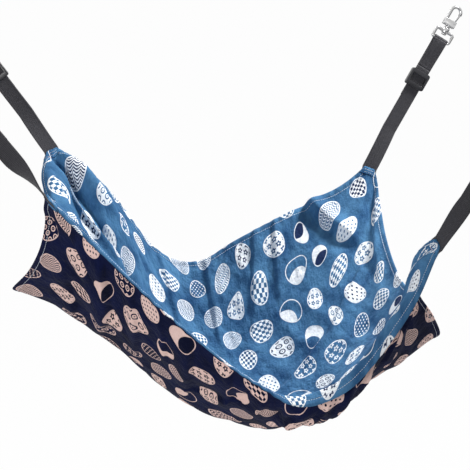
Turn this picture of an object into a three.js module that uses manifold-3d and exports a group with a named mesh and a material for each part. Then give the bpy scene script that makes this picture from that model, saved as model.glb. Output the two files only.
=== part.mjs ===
// Cat hammock: two cloth panels joined along a front and a back hem and open at both ends,
// hung by four webbing straps, each with a slider, a swivel eye and a gated hook.
import * as THREE from 'three';
import { mergeVertices } from 'three/addons/utils/BufferGeometryUtils.js';
import Module from 'manifold-3d';

const wasm = await Module();
wasm.setup();

// Driving dimensions in millimetres. The origin is the middle of the four hanging points.
const hangingHalfWidth = 335;
const hangingHalfDepth = 203;
const frontSpan = 440;
const backSpan = 420;
const cornerDepth = 348;
const frontLeftDrop = 156;
const backLeftDrop = 170;
const backRightDrop = 206;
const frontRightDrop = 221;
const frontSag = 226;
const backSag = 148;
const frontBow = 18;
const backBow = 18;
const innerLeftSag = 108;
const innerRightSag = 112;
const outerLeftSag = 150;
const outerRightSag = 178;
const outerFlare = 48;
const layerDrape = 6;
const clothWidth = 620;
const clothLength = 430;
const clothThickness = 1.2;
const hemWidth = 8;
const hemThickness = 1.8;
const joinedHemThickness = 2.8;
const webWidth = 20;
const webThickness = 1.6;
const gap = 0.3;
const seamGap = 0.98;

// Lip and folds of the cloth
const lipHeight = 24;
const lipReach = 20;
const lipFade = 34;
const outerLipFade = 26;
const partingReach = 30;
const foldHeight = 12;
const foldReach = 74;
const foldFan = 6;
const turnReach = 68;
const layerOffset = (hemThickness + gap) / 2;
const inset = hemWidth + seamGap;
const cornerCut = webWidth / Math.SQRT2 + gap;

// Straps: how far below its eye each slider stands, as each strap is let out.
const frontLeftSliderDrop = 44;
const backLeftSliderDrop = 44;
const backRightSliderDrop = 61;
const frontRightSliderDrop = 64;
const tailLength = 28;
const strapGap = 1.05;
const twistLength = 58;
const sliderSlide = 5;

// Slider
const sliderWidth = 27;
const sliderLength = 24;
const sliderCorner = 3;
const sliderBarThickness = 1.8;
const sliderEndBar = 6;
const sliderCentreBar = 6;

// Eye and swivel
const eyeWireRadius = 2;
const eyeHeight = 13;
const eyeCorner = 2.2;
const bossRadius = 4.4;
const bossLength = 7.8;
const shankRadius = 1.8;
const shankHeadRadius = 3.4;
const shankHeadLength = 2;
const swivelClearance = 0.25;

// Hook and gate
const hookWireRadius = 2.2;
const hookBend = 7;
const hookThroat = 21;
const collarRadius = 3.6;
const collarLength = 2.4;
const blockWidth = 16;
const blockHeight = 9.4;
const blockThickness = 7.6;
const slotThickness = 3.4;
const gateWireRadius = 1.4;
const gateEyeRadius = 2.8;
const gatePivotInset = 3;
const pinRadius = 1.1;
const pinClearance = 0.15;
const cutOverrun = 1;

// Places along an edge, how deep each hangs as a share of the sag, and how far it bows as a share.
const frontEdgeShares = [
  [0.245, 0.475, 0.7], [0.43, 0.78, 0.97], [0.55, 0.93, 1], [0.625, 1, 0.95],
  [0.705, 0.965, 0.85], [0.8, 0.81, 0.65], [0.925, 0.4, 0.3],
];
const backEdgeShares = [
  [0.1, 0.2, -0.3], [0.19, 0.44, -0.56], [0.3, 0.86, -0.8], [0.38, 1, -0.93],
  [0.47, 0.98, -1], [0.565, 0.79, -0.98], [0.8, 0.4, -0.6], [0.9, 0.24, -0.3],
];
const innerSideShares = [[0.2, 0.62, 0], [0.45, 1, 0], [0.75, 0.72, 0]];
const outerLeftShares = [
  [0.1, 0.33, -0.12], [0.2, 0.52, 0.02], [0.35, 0.78, 0.42], [0.5, 1, 1],
  [0.62, 1.02, 0.42], [0.78, 0.85, -0.12], [0.9, 0.5, -0.16],
];
const outerRightShares = [
  [0.1, 0.36, -0.08], [0.25, 0.56, 0.05], [0.38, 0.78, 0.6], [0.5, 1, 1],
  [0.62, 1, 0.4], [0.78, 0.8, -0.1], [0.9, 0.45, -0.12],
];
// Places along the front edge and the height of its rolled lip there, as a share.
const lipShares = [[0, 0], [0.12, 0.22], [0.5, 0.3], [0.64, 0.75], [0.8, 1], [0.91, 0.6], [1, 0]];
const sideBlendPower = 3;
const lipReachLeastShare = 0.6;

const textile = { roughness: 0.9, metalness: 0 };
const innerCloth = new THREE.MeshStandardMaterial({ color: 0x356ba8, ...textile });
const outerCloth = new THREE.MeshStandardMaterial({ color: 0x1b2352, ...textile });
const innerHemCloth = new THREE.MeshStandardMaterial({ color: 0x3f76b2, ...textile });
const outerHemCloth = new THREE.MeshStandardMaterial({ color: 0x222b5e, ...textile });
const webbing = new THREE.MeshStandardMaterial({ color: 0x29282d, roughness: 0.85, metalness: 0 });
const plastic = new THREE.MeshStandardMaterial({ color: 0x18181b, roughness: 0.35, metalness: 0 });
const steel = new THREE.MeshStandardMaterial({ color: 0xb9bcc0, roughness: 0.3, metalness: 1 });

const hammock = new THREE.Group();
const vec = (x, y, z) => new THREE.Vector3(x, y, z);

function addPiece(name, geometry, material) {
  const mesh = new THREE.Mesh(geometry, material);
  mesh.name = name;
  hammock.add(mesh);
  return mesh;
}

// A closed body from points and triangles, with its faces turned outwards.
function bodyGeometry(points, triangles) {
  let volume = 0;
  for (const [i, j, k] of triangles) {
    volume += points[i].dot(points[j].clone().cross(points[k]));
  }
  const faces = volume < 0 ? triangles.map(([i, j, k]) => [i, k, j]) : triangles;
  const geometry = new THREE.BufferGeometry();
  geometry.setFromPoints(points);
  geometry.setIndex(faces.flat());
  geometry.computeVertexNormals();
  return geometry;
}

// A body through rings of points, with flat caps, or closed on itself.
function loft(rings, closed = false) {
  const sides = rings[0].length;
  const points = rings.flat();
  const triangles = [];
  const spans = closed ? rings.length : rings.length - 1;
  for (let r = 0; r < spans; r++) {
    const here = r * sides;
    const next = ((r + 1) % rings.length) * sides;
    for (let s = 0; s < sides; s++) {
      const t = (s + 1) % sides;
      triangles.push([here + s, here + t, next + t], [here + s, next + t, next + s]);
    }
  }
  if (!closed) {
    const last = (rings.length - 1) * sides;
    for (let s = 1; s < sides - 1; s++) {
      triangles.push([0, s + 1, s], [last, last + s, last + s + 1]);
    }
  }
  return bodyGeometry(points, triangles);
}

function toSolid(geometry) {
  const plain = geometry.clone();
  plain.deleteAttribute('normal');
  plain.deleteAttribute('uv');
  const merged = mergeVertices(plain);
  return new wasm.Manifold(new wasm.Mesh({
    numProp: 3,
    vertProperties: new Float32Array(merged.attributes.position.array),
    triVerts: new Uint32Array(merged.index.array),
  }));
}

function fromSolid(solid) {
  const mesh = solid.getMesh();
  const geometry = new THREE.BufferGeometry();
  geometry.setAttribute('position', new THREE.BufferAttribute(mesh.vertProperties, 3));
  geometry.setIndex(new THREE.BufferAttribute(mesh.triVerts, 1));
  geometry.computeVertexNormals();
  return geometry;
}

// Corners: where the cloth is cut across for its strap, and the way up the strap.
const corners = [
  { name: 'front_left', x: -1, y: -1, span: frontSpan, drop: frontLeftDrop, sliderDrop: frontLeftSliderDrop },
  { name: 'back_left', x: -1, y: 1, span: backSpan, drop: backLeftDrop, sliderDrop: backLeftSliderDrop },
  { name: 'back_right', x: 1, y: 1, span: backSpan, drop: backRightDrop, sliderDrop: backRightSliderDrop },
  { name: 'front_right', x: 1, y: -1, span: frontSpan, drop: frontRightDrop, sliderDrop: frontRightSliderDrop },
];
const foldShares = { front_left: 0.5, back_left: 1, back_right: -1, front_right: 0.5 };
const turnShares = { front_left: 0, back_left: 0.65, back_right: 0.65, front_right: 0.45 };
for (const corner of corners) {
  corner.anchor = vec(corner.x * corner.span / 2, corner.y * cornerDepth / 2, -corner.drop);
  corner.hang = vec(corner.x * hangingHalfWidth, corner.y * hangingHalfDepth, 0);
  corner.up = corner.hang.clone().sub(corner.anchor).normalize();
  corner.tip = corner.anchor.clone().addScaledVector(corner.up, cornerCut / Math.SQRT2);
  corner.across = vec(0, 1, 0).cross(corner.up).normalize();
  corner.facing = corner.across.clone().cross(corner.up);
  corner.foldShare = foldShares[corner.name];
  corner.turn = 0;
}
const [frontLeft, backLeft, backRight, frontRight] = corners;

function edgeCurve(from, to, shares, sag, bow) {
  const points = [from.tip.clone()];
  for (const [along, drop, out] of shares) {
    const point = from.tip.clone().lerp(to.tip, along);
    point.addScaledVector(bow, out);
    point.z -= sag * drop;
    points.push(point);
  }
  points.push(to.tip.clone());
  return new THREE.CatmullRomCurve3(points, false, 'catmullrom', 0.5);
}

const frontEdge = edgeCurve(frontLeft, frontRight, frontEdgeShares, frontSag, vec(0, frontBow, 0));
const backEdge = edgeCurve(backLeft, backRight, backEdgeShares, backSag, vec(0, backBow, 0));
const innerLeftEdge = edgeCurve(frontLeft, backLeft, innerSideShares, innerLeftSag, vec(0, 0, 0));
const innerRightEdge = edgeCurve(frontRight, backRight, innerSideShares, innerRightSag, vec(0, 0, 0));
const outerLeftEdge = edgeCurve(frontLeft, backLeft, outerLeftShares, outerLeftSag, vec(-outerFlare, 0, 0));
const outerRightEdge = edgeCurve(frontRight, backRight, outerRightShares, outerRightSag, vec(outerFlare, 0, 0));

// A value between the rows of a table of shares, eased from each row to the next.
function easedShare(shares, along) {
  let row = 0;
  while (row < shares.length - 2 && along > shares[row + 1][0]) {
    row += 1;
  }
  const [from, low] = shares[row];
  const [to, high] = shares[row + 1];
  return low + (high - low) * THREE.MathUtils.smoothstep(along, from, to);
}

const bilinear = (u, v) => [(1 - u) * (1 - v), u * (1 - v), (1 - u) * v, u * v];

// The surface between the four edges of the inner panel.
function stretchedPoint(u, v) {
  const [nearLeft, nearRight, farLeft, farRight] = bilinear(u, v);
  return vec(0, 0, 0)
    .addScaledVector(frontEdge.getPointAt(u), 1 - v)
    .addScaledVector(backEdge.getPointAt(u), v)
    .addScaledVector(innerLeftEdge.getPointAt(v), 1 - u)
    .addScaledVector(innerRightEdge.getPointAt(v), u)
    .addScaledVector(frontLeft.tip, -nearLeft)
    .addScaledVector(frontRight.tip, -nearRight)
    .addScaledVector(backLeft.tip, -farLeft)
    .addScaledVector(backRight.tip, -farRight);
}

const share = (value) => THREE.MathUtils.clamp(value, 0, 1);
const flatFromCorner = (corner, a, b) => [
  corner.x < 0 ? a : clothWidth - a,
  corner.y < 0 ? b : clothLength - b,
];

// Height of the folds that run into the cloth from each corner.
function foldRise(a, b) {
  let rise = 0;
  for (const corner of corners) {
    const [along, beside] = flatFromCorner(corner, a, b);
    const reach = Math.hypot(along, beside) / foldReach;
    const fan = Math.sin(foldFan * Math.atan2(beside, along));
    rise += foldHeight * corner.foldShare * fan * reach ** 2 * Math.exp(2 * (1 - reach));
  }
  return rise;
}

// Height of the rolled lip, a distance b in from the front edge.
function lipRise(u, b) {
  const size = easedShare(lipShares, u);
  const reach = lipReach * (lipReachLeastShare + (1 - lipReachLeastShare) * size);
  if (b < reach) {
    return lipHeight * size * Math.sin(b / reach * Math.PI / 2);
  }
  return lipHeight * size * Math.cos(share((b - reach) / lipFade) * Math.PI / 2) ** 2;
}

// The outer panel leaves the lip at the hem and hangs clear below it.
function outerLipRise(u, b) {
  return lipRise(u, b) * Math.cos(share((b - hemWidth) / outerLipFade) * Math.PI / 2) ** 2;
}

// A point on the cloth, a across and b back from its front left corner, both measured flat.
function clothPoint(a, b, outer) {
  const u = share(a / clothWidth);
  const v = share(b / clothLength);
  const point = stretchedPoint(u, v);
  if (outer) {
    const leftPull = outerLeftEdge.getPointAt(v).sub(innerLeftEdge.getPointAt(v));
    const rightPull = outerRightEdge.getPointAt(v).sub(innerRightEdge.getPointAt(v));
    const fromHem = Math.min(b, clothLength - b) - inset;
    const parted = THREE.MathUtils.smoothstep(fromHem, 0, partingReach);
    point.addScaledVector(leftPull, parted * (1 - u) ** sideBlendPower);
    point.addScaledVector(rightPull, parted * u ** sideBlendPower);
    point.z -= layerDrape * Math.sin(Math.PI * v) ** 2 * parted;
    point.z += outerLipRise(u, b);
  } else {
    point.z += lipRise(u, b);
  }
  point.z += foldRise(a, b);
  for (const corner of corners) {
    const distance = Math.hypot(...flatFromCorner(corner, a, b));
    const angle = corner.turn * Math.exp(-((distance / turnReach) ** 2));
    point.sub(corner.tip).applyAxisAngle(corner.up, angle).add(corner.tip);
  }
  return point;
}

// Each corner's cut edge is turned part of the way towards its strap's face.
function cutEnds(corner) {
  const along = corner.x < 0 ? cornerCut : clothWidth - cornerCut;
  const beside = corner.y < 0 ? cornerCut : clothLength - cornerCut;
  const sideA = corner.x < 0 ? 0 : clothWidth;
  const sideB = corner.y < 0 ? 0 : clothLength;
  const ends = [clothPoint(along, sideB, false), clothPoint(sideA, beside, false)];
  return corner.x < 0 ? ends.reverse() : ends;
}
function angleAbout(axis, from, to) {
  return Math.atan2(axis.dot(from.clone().cross(to)), from.dot(to) - axis.dot(from) * axis.dot(to));
}
const turns = corners.map((corner) => {
  const [left, right] = cutEnds(corner);
  let angle = angleAbout(corner.up, right.clone().sub(left), corner.across);
  if (Math.abs(angle) > Math.PI / 2) {
    angle -= Math.sign(angle) * Math.PI;
  }
  return angle * turnShares[corner.name];
});
corners.forEach((corner, index) => {
  corner.turn = turns[index];
});

// A sheet of even thickness over a grid of flat places, given row by row.
function sheetGeometry(rows, outer, lift, thickness) {
  const step = hemWidth / 8;
  const top = [];
  const bottom = [];
  for (const row of rows) {
    for (const [a, b] of row) {
      const point = clothPoint(a, b, outer);
      const apart = outer && b > inset && b < clothLength - inset;
      const acrossStep = clothPoint(Math.min(a + step, clothWidth), b, apart)
        .sub(clothPoint(Math.max(a - step, 0), b, apart));
      const backStep = clothPoint(a, Math.min(b + step, clothLength), apart)
        .sub(clothPoint(a, Math.max(b - step, 0), apart));
      const normal = acrossStep.cross(backStep).normalize();
      top.push(point.clone().addScaledVector(normal, lift + thickness / 2));
      bottom.push(point.clone().addScaledVector(normal, lift - thickness / 2));
    }
  }
  const columns = rows[0].length;
  const count = top.length;
  const triangles = [];
  for (let r = 0; r < rows.length - 1; r++) {
    for (let c = 0; c < columns - 1; c++) {
      const i = r * columns + c;
      const j = i + columns;
      triangles.push([i, i + 1, j + 1], [i, j + 1, j]);
      triangles.push([count + i, count + j + 1, count + i + 1], [count + i, count + j, count + j + 1]);
    }
  }
  const border = [];
  for (let c = 0; c < columns - 1; c++) border.push(c);
  for (let r = 0; r < rows.length - 1; r++) border.push(r * columns + columns - 1);
  for (let c = columns - 1; c > 0; c--) border.push((rows.length - 1) * columns + c);
  for (let r = rows.length - 1; r > 0; r--) border.push(r * columns);
  border.forEach((i, index) => {
    const j = border[(index + 1) % border.length];
    triangles.push([i, count + i, count + j], [i, count + j, j]);
  });
  return bodyGeometry([...top, ...bottom], triangles);
}

// Flat grids: rows run across the cloth or, for a side hem, from its front to its back.
const panelColumns = 25;
const panelRows = 22;
const rowPower = 1.35;
const columnCrowding = 0.09;
const lerp = THREE.MathUtils.lerp;
const rowShare = (r) => (r / panelRows) ** rowPower;
const columnShare = (c) => c / panelColumns - columnCrowding * Math.sin(2 * Math.PI * c / panelColumns);

function panelGrid() {
  const rows = [];
  for (let r = 0; r <= panelRows; r++) {
    const b = lerp(inset, clothLength - inset, rowShare(r));
    const row = [];
    for (let c = 0; c <= panelColumns; c++) {
      row.push([lerp(inset, clothWidth - inset, columnShare(c)), b]);
    }
    rows.push(row);
  }
  return rows;
}

const hemDepths = [0, cornerCut / 2, hemWidth];
const mitre = (depth) => Math.max(cornerCut - depth, depth + seamGap);

function frontOrBackHemGrid(atBack) {
  return hemDepths.map((depth) => {
    const b = atBack ? clothLength - depth : depth;
    const row = [];
    for (let c = 0; c <= panelColumns; c++) {
      row.push([lerp(mitre(depth), clothWidth - mitre(depth), columnShare(c)), b]);
    }
    return row;
  });
}

function sideHemGrid(atRight) {
  return hemDepths.map((depth) => {
    const a = atRight ? clothWidth - depth : depth;
    const row = [];
    for (let r = 0; r <= panelRows; r++) {
      row.push([a, lerp(mitre(depth), clothLength - mitre(depth), rowShare(r))]);
    }
    return row;
  });
}

addPiece('inner_panel', sheetGeometry(panelGrid(), false, layerOffset, clothThickness), innerCloth);
addPiece('outer_panel', sheetGeometry(panelGrid(), true, -layerOffset, clothThickness), outerCloth);
addPiece('front_hem', sheetGeometry(frontOrBackHemGrid(false), false, 0, joinedHemThickness), innerHemCloth);
addPiece('back_hem', sheetGeometry(frontOrBackHemGrid(true), false, 0, joinedHemThickness), innerHemCloth);
for (const [side, atRight] of [['left', false], ['right', true]]) {
  const grid = sideHemGrid(atRight);
  addPiece(`inner_${side}_hem`, sheetGeometry(grid, false, layerOffset, hemThickness), innerHemCloth);
  addPiece(`outer_${side}_hem`, sheetGeometry(grid, true, -layerOffset, hemThickness), outerHemCloth);
}

// A body swept along a flat path in a piece's own x and y.
function sweepFlat(path, radius, sides, closed = false) {
  const rings = path.map(([x, y], index) => {
    const before = path[closed ? (index - 1 + path.length) % path.length : Math.max(index - 1, 0)];
    const after = path[closed ? (index + 1) % path.length : Math.min(index + 1, path.length - 1)];
    const outward = vec(after[1] - before[1], before[0] - after[0], 0).normalize();
    const ring = [];
    for (let s = 0; s < sides; s++) {
      const angle = 2 * Math.PI * s / sides;
      ring.push(vec(x, y, radius * Math.sin(angle)).addScaledVector(outward, radius * Math.cos(angle)));
    }
    return ring;
  });
  return loft(rings, closed);
}

function arcPoints(x, y, radius, from, to, steps) {
  const points = [];
  for (let i = 0; i <= steps; i++) {
    const angle = THREE.MathUtils.degToRad(lerp(from, to, i / steps));
    points.push([x + radius * Math.cos(angle), y + radius * Math.sin(angle)]);
  }
  return points;
}

function boxSolid(x0, x1, y0, y1, z0, z1) {
  const box = new THREE.BoxGeometry(x1 - x0, y1 - y0, z1 - z0);
  box.translate((x0 + x1) / 2, (y0 + y1) / 2, (z0 + z1) / 2);
  return toSolid(box);
}

// A round bar along y, or along z where it crosses a piece.
function barSolid(radius, from, to, sides) {
  const bar = new THREE.CylinderGeometry(radius, radius, to - from, sides);
  bar.translate(0, (from + to) / 2, 0);
  return toSolid(bar);
}
function crossGeometry(radius, thickness, x, y, sides) {
  const bar = new THREE.CylinderGeometry(radius, radius, thickness, sides);
  bar.rotateX(Math.PI / 2);
  bar.translate(x, y, 0);
  return bar;
}

// Depths through a slider, from its back to its front, round the strap and the layer behind it.
const layerStep = webThickness + gap;
const bendRadius = eyeWireRadius + gap + webThickness / 2;
const channelFront = webThickness / 2 + gap;
const channelBack = -layerStep - webThickness / 2 - gap;
const sliderFront = channelFront + sliderBarThickness;
const sliderBack = channelBack - sliderBarThickness;
const channelHalf = webWidth / 2 + gap;

function sliderGeometry() {
  const half = sliderWidth / 2;
  const long = sliderLength / 2;
  const turn = sliderCorner;
  const outline = new THREE.Shape();
  outline.absarc(half - turn, long - turn, turn, 0, Math.PI / 2);
  outline.absarc(turn - half, long - turn, turn, Math.PI / 2, Math.PI);
  outline.absarc(turn - half, turn - long, turn, Math.PI, Math.PI * 1.5);
  outline.absarc(half - turn, turn - long, turn, Math.PI * 1.5, Math.PI * 2);
  const block = new THREE.ExtrudeGeometry(outline, {
    depth: sliderFront - sliderBack, bevelEnabled: false, curveSegments: 4,
  });
  block.translate(0, 0, sliderBack);
  const windowEnd = long - sliderEndBar;
  const over = cutOverrun;
  return fromSolid(toSolid(block)
    .subtract(boxSolid(-channelHalf, channelHalf, -long - over, long + over, channelBack, channelFront))
    .subtract(boxSolid(-channelHalf, channelHalf, -windowEnd, windowEnd, channelBack, sliderFront + over))
    .subtract(boxSolid(-channelHalf, channelHalf, sliderCentreBar / 2, long + over, sliderBack - over, channelFront))
    .subtract(boxSolid(-channelHalf, channelHalf, -long - over, -sliderCentreBar / 2, sliderBack - over, channelFront)));
}

const eyeHalf = channelHalf + gap + eyeCorner;
const bossFrom = eyeHeight - bossLength / 3;
const bossTo = bossFrom + bossLength;
const boreRadius = shankRadius + swivelClearance;

function eyeGeometry() {
  const inner = eyeHalf - eyeCorner;
  const path = [
    ...arcPoints(inner, eyeCorner, eyeCorner, -90, 0, 4),
    ...arcPoints(inner, eyeHeight - eyeCorner, eyeCorner, 0, 90, 4),
    ...arcPoints(-inner, eyeHeight - eyeCorner, eyeCorner, 90, 180, 4),
    ...arcPoints(-inner, eyeCorner, eyeCorner, 180, 270, 4),
  ];
  return fromSolid(toSolid(sweepFlat(path, eyeWireRadius, 8, true))
    .add(barSolid(bossRadius, bossFrom, bossTo, 20))
    .subtract(barSolid(boreRadius, bossFrom - cutOverrun, bossTo + cutOverrun, 16)));
}

const collarFrom = bossTo + gap;
const blockFrom = collarFrom + collarLength;
const blockTo = blockFrom + blockHeight;
const bendHeight = blockFrom + hookThroat;
const pivotX = blockWidth / 2 - gatePivotInset;
const pivotY = blockTo - gatePivotInset - gap;
const hookReach = bendHeight + hookBend - hookWireRadius;
const noseAngle = -15;
const noseDrop = hookBend * Math.sin(THREE.MathUtils.degToRad(-noseAngle)) + hookWireRadius / 4;

function hookGeometry() {
  const headTo = bossFrom - gap;
  const spine = [[-hookBend, blockFrom + hookWireRadius], [-hookBend, (blockFrom + bendHeight) / 2]];
  const path = [...spine, ...arcPoints(0, bendHeight, hookBend, 180, noseAngle, 14)];
  const slotFrom = pivotY - gateEyeRadius - gap;
  const slotLeft = pivotX - gateEyeRadius - 2 * gap - gateWireRadius / 2;
  const blockHalf = blockWidth / 2;
  const thick = blockThickness / 2;
  const slotHalf = slotThickness / 2;
  const pinBore = crossGeometry(pinRadius + pinClearance, blockThickness + cutOverrun, pivotX, pivotY, 14);
  return fromSolid(toSolid(sweepFlat(path, hookWireRadius, 10))
    .add(boxSolid(-blockHalf - hookWireRadius / 2, blockHalf, blockFrom, blockTo, -thick, thick))
    .add(barSolid(collarRadius, collarFrom, blockFrom + gap, 20))
    .add(barSolid(shankRadius, headTo - shankHeadLength / 2, collarFrom + gap, 16))
    .add(barSolid(shankHeadRadius, headTo - shankHeadLength, headTo, 20))
    .subtract(boxSolid(slotLeft, blockHalf + cutOverrun, slotFrom, blockTo + cutOverrun, -slotHalf, slotHalf))
    .subtract(toSolid(pinBore)));
}

// The gate's own origin is its pivot.
function gateGeometry() {
  const tipX = hookBend - hookWireRadius / 6 - pivotX;
  const tipY = bendHeight - noseDrop - gap - pivotY;
  const thickness = slotThickness - gap;
  const bar = sweepFlat([[0, 0], [tipX / 2, tipY / 2], [tipX, tipY]], gateWireRadius, 8);
  return fromSolid(toSolid(bar)
    .add(toSolid(crossGeometry(gateEyeRadius, thickness, 0, 0, 18)))
    .subtract(toSolid(crossGeometry(pinRadius + pinClearance, thickness + cutOverrun, 0, 0, 14))));
}

function webRing(centre, across, facing) {
  const wide = across.clone().setLength(webWidth / 2);
  const deep = facing.clone().setLength(webThickness / 2);
  return [
    centre.clone().add(wide).add(deep), centre.clone().sub(wide).add(deep),
    centre.clone().sub(wide).sub(deep), centre.clone().add(wide).sub(deep),
  ];
}

const twistSteps = 8;
const bendSteps = 8;

// The strap from the cloth's cut corner up through the slider, turning to face the slider.
function runGeometry(corner, top) {
  const [left, right] = cutEnds(corner);
  const start = left.clone().lerp(right, 0.5).addScaledVector(corner.up, strapGap);
  const cutWay = right.clone().sub(left).normalize();
  if (cutWay.dot(corner.across) < 0) {
    cutWay.negate();
  }
  const rings = [];
  for (let i = 0; i <= twistSteps; i++) {
    const along = i / twistSteps;
    const eased = THREE.MathUtils.smoothstep(along, 0, 1);
    const straight = corner.anchor.clone().addScaledVector(corner.up, along * twistLength);
    const centre = start.clone().addScaledVector(corner.up, along * twistLength).lerp(straight, eased);
    const across = cutWay.clone().lerp(corner.across, eased).normalize();
    const facing = across.clone().cross(corner.up);
    rings.push(webRing(centre, across, facing));
  }
  const end = corner.anchor.clone().addScaledVector(corner.up, top);
  rings.push(webRing(end, corner.across, corner.facing));
  return loft(rings);
}

// Webbing through places given as distances up the strap and out from its middle plane.
function layerGeometry(corner, places) {
  const at = ([rise, out]) => corner.anchor.clone()
    .addScaledVector(corner.up, rise).addScaledVector(corner.facing, out);
  const rings = places.map((place, index) => {
    const before = at(places[Math.max(index - 1, 0)]);
    const after = at(places[Math.min(index + 1, places.length - 1)]);
    const facing = corner.across.clone().cross(after.sub(before));
    return webRing(at(place), corner.across, facing);
  });
  return loft(rings);
}

const sliderTop = sliderLength / 2 + sliderSlide + gap;
const settleLength = 10;

for (const corner of corners) {
  const eyeRise = corner.hang.distanceTo(corner.anchor) - hookReach;
  const sliderRise = eyeRise - corner.sliderDrop;
  const runTop = sliderRise + sliderTop;
  const hanger = new THREE.Group();
  hanger.position.copy(corner.anchor);
  hanger.quaternion.setFromRotationMatrix(
    new THREE.Matrix4().makeBasis(corner.across, corner.up, corner.facing),
  );
  hammock.add(hanger);
  addPiece(`${corner.name}_strap`, runGeometry(corner, runTop), webbing);
  addPiece(`${corner.name}_strap_front_layer`, layerGeometry(corner, [
    [runTop + gap, 0], [runTop + 2 * gap, 0], [eyeRise - 2 * gap, bendRadius], [eyeRise - gap, bendRadius],
  ]), webbing);
  const bend = arcPoints(0, 0, bendRadius, 0, 180, bendSteps).map(([out, up]) => [eyeRise + up, out]);
  addPiece(`${corner.name}_strap_return`, layerGeometry(corner, [
    ...bend, [eyeRise - settleLength, -layerStep], [sliderRise - tailLength, -layerStep],
  ]), webbing);
  const pieces = [
    ['slider', sliderGeometry(), plastic, 0, sliderRise],
    ['eye', eyeGeometry(), steel, 0, eyeRise],
    ['hook', hookGeometry(), steel, 0, eyeRise],
    ['gate', gateGeometry(), steel, pivotX, eyeRise + pivotY],
    ['gate_pin', crossGeometry(pinRadius, blockThickness, 0, 0, 14), steel, pivotX, eyeRise + pivotY],
  ];
  for (const [piece, geometry, material, x, y] of pieces) {
    const mesh = addPiece(`${corner.name}_${piece}`, geometry, material);
    mesh.position.set(x, y, 0);
    hanger.add(mesh);
  }
}

export default hammock;
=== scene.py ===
# Hanging hammock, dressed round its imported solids: printed cotton, webbing, moulded sliders, plated hooks.
import math

import bmesh
import bpy
import numpy as np
from mathutils import Matrix, Vector


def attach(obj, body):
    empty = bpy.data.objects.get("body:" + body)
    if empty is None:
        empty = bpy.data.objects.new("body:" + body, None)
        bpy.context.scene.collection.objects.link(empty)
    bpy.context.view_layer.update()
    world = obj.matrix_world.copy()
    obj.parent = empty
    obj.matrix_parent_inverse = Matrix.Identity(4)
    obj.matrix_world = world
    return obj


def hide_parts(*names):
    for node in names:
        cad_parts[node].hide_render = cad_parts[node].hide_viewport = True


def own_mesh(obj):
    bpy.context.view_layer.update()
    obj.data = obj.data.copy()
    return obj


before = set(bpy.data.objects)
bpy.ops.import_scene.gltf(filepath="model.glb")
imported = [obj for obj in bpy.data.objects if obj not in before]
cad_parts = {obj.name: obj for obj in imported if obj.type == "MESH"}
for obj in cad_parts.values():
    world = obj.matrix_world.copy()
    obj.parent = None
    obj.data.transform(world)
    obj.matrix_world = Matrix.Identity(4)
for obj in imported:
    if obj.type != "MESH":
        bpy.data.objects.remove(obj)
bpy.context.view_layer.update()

# Camera and studio
# The camera stands 1.7 m off, a little left of the middle and above the cloth, as the photograph was taken.
# The floor is plain and pale, half a metre under the cloth, and three soft lamps stand round it.
SENSOR_WIDTH = 36
FOCAL_PIXELS = 1450
PHOTO_PIXELS = 470
CAMERA_PLACE = (-0.2087, -1.7054, 0.2027)
CAMERA_DIP = 14.74
CAMERA_YAW = 7.23
FLOOR_HEIGHT = -1.05
LAMPS_AIM = (0, 0, -0.25)

scene = bpy.context.scene
scene.view_settings.view_transform = "Standard"

camera = bpy.data.objects.new("camera", bpy.data.cameras.new("camera"))
camera.data.sensor_width = SENSOR_WIDTH
camera.data.lens = SENSOR_WIDTH * FOCAL_PIXELS / PHOTO_PIXELS
camera.location = CAMERA_PLACE
camera.rotation_euler = (math.radians(90 - CAMERA_DIP), 0, math.radians(-CAMERA_YAW))
scene.collection.objects.link(camera)
scene.camera = camera


def linear(hex_code):
    """An sRGB hex code as a linear colour with alpha."""
    channels = [int(hex_code[i:i + 2], 16) / 255 for i in (0, 2, 4)]
    return [c / 12.92 if c <= 0.04045 else ((c + 0.055) / 1.055) ** 2.4 for c in channels] + [1]


def add_node(tree, kind, inputs=None, **settings):
    """Adds a shader node. An input is a plain value, a socket, or a node whose first output is meant."""
    made = tree.nodes.new("ShaderNode" + kind)
    for name, value in settings.items():
        setattr(made, name, value)
    for socket, value in (inputs or {}).items():
        if isinstance(value, bpy.types.Node):
            tree.links.new(value.outputs[0], made.inputs[socket])
        elif isinstance(value, bpy.types.NodeSocket):
            tree.links.new(value, made.inputs[socket])
        else:
            made.inputs[socket].default_value = value
    return made


def new_material(name):
    material = bpy.data.materials.new(name)
    material.use_nodes = True
    material.node_tree.nodes.clear()
    return material, material.node_tree


# Matt white floor paint: the camera sees it near white, and it still takes a soft shadow.
floor_paint, tree = new_material("matt white floor paint")
path = add_node(tree, "LightPath")
paint = add_node(tree, "BsdfDiffuse", {"Color": linear("D8D8D8")})
glow = add_node(tree, "Emission", {"Color": linear("FFFFFF"), "Strength": 1.0})
seen = add_node(tree, "Math", {0: path.outputs["Is Camera Ray"], 1: 0.98}, operation="MULTIPLY")
painted = add_node(tree, "MixShader", {0: seen, 1: paint, 2: glow})
add_node(tree, "OutputMaterial", {"Surface": painted})

shape = bmesh.new()
bmesh.ops.create_grid(
    shape, x_segments=1, y_segments=1, size=14, matrix=Matrix.Translation((0, 4, FLOOR_HEIGHT)))
mesh = bpy.data.meshes.new("floor")
shape.to_mesh(mesh)
shape.free()
mesh.materials.append(floor_paint)
floor = bpy.data.objects.new("floor", mesh)
scene.collection.objects.link(floor)

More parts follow.
